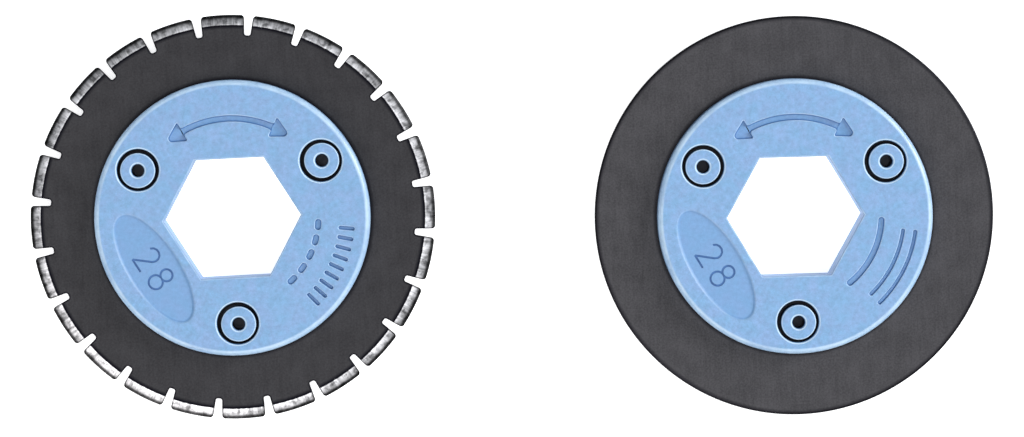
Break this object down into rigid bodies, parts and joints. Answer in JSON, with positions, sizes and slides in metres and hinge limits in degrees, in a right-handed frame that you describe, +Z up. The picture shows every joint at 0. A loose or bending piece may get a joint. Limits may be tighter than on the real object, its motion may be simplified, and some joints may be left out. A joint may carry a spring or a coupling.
{
  "type": "trimmer wheel pair",
  "caption": "Perforating wheel and creasing wheel for a rotary paper trimmer: thin steel discs clamped in round moulded hubs with a hexagonal bore.",
  "frame": {"origin": "midway between the outer sides of the two wheels, on the surface that they lie on", "axes": "+Z up, along both bores; +X from the perforating wheel's bore to the creasing wheel's"},
  "size_m": [0.0674, 0.0284, 0.003],
  "materials": {
    "ground_steel": "dark coated steel, ground bright at the edge",
    "dark_steel": "dark coated steel",
    "blue_plastic": "fine matt moulded"
  },
  "bodies": {
    "perforating_wheel": {"perforating_disc": "ground_steel", "perforating_hub_front": "blue_plastic", "perforating_hub_back": "blue_plastic"},
    "creasing_wheel": {"creasing_disc": "dark_steel", "creasing_hub_front": "blue_plastic", "creasing_hub_back": "blue_plastic"}
  },
  "joints": [
    {"name": "creasing_wheel_turn", "type": "hinge", "parent": "perforating_wheel", "child": "creasing_wheel", "pos_m": [0.01972, 0, 0], "axis": [0, 0, 1], "continuous": true}
  ]
}
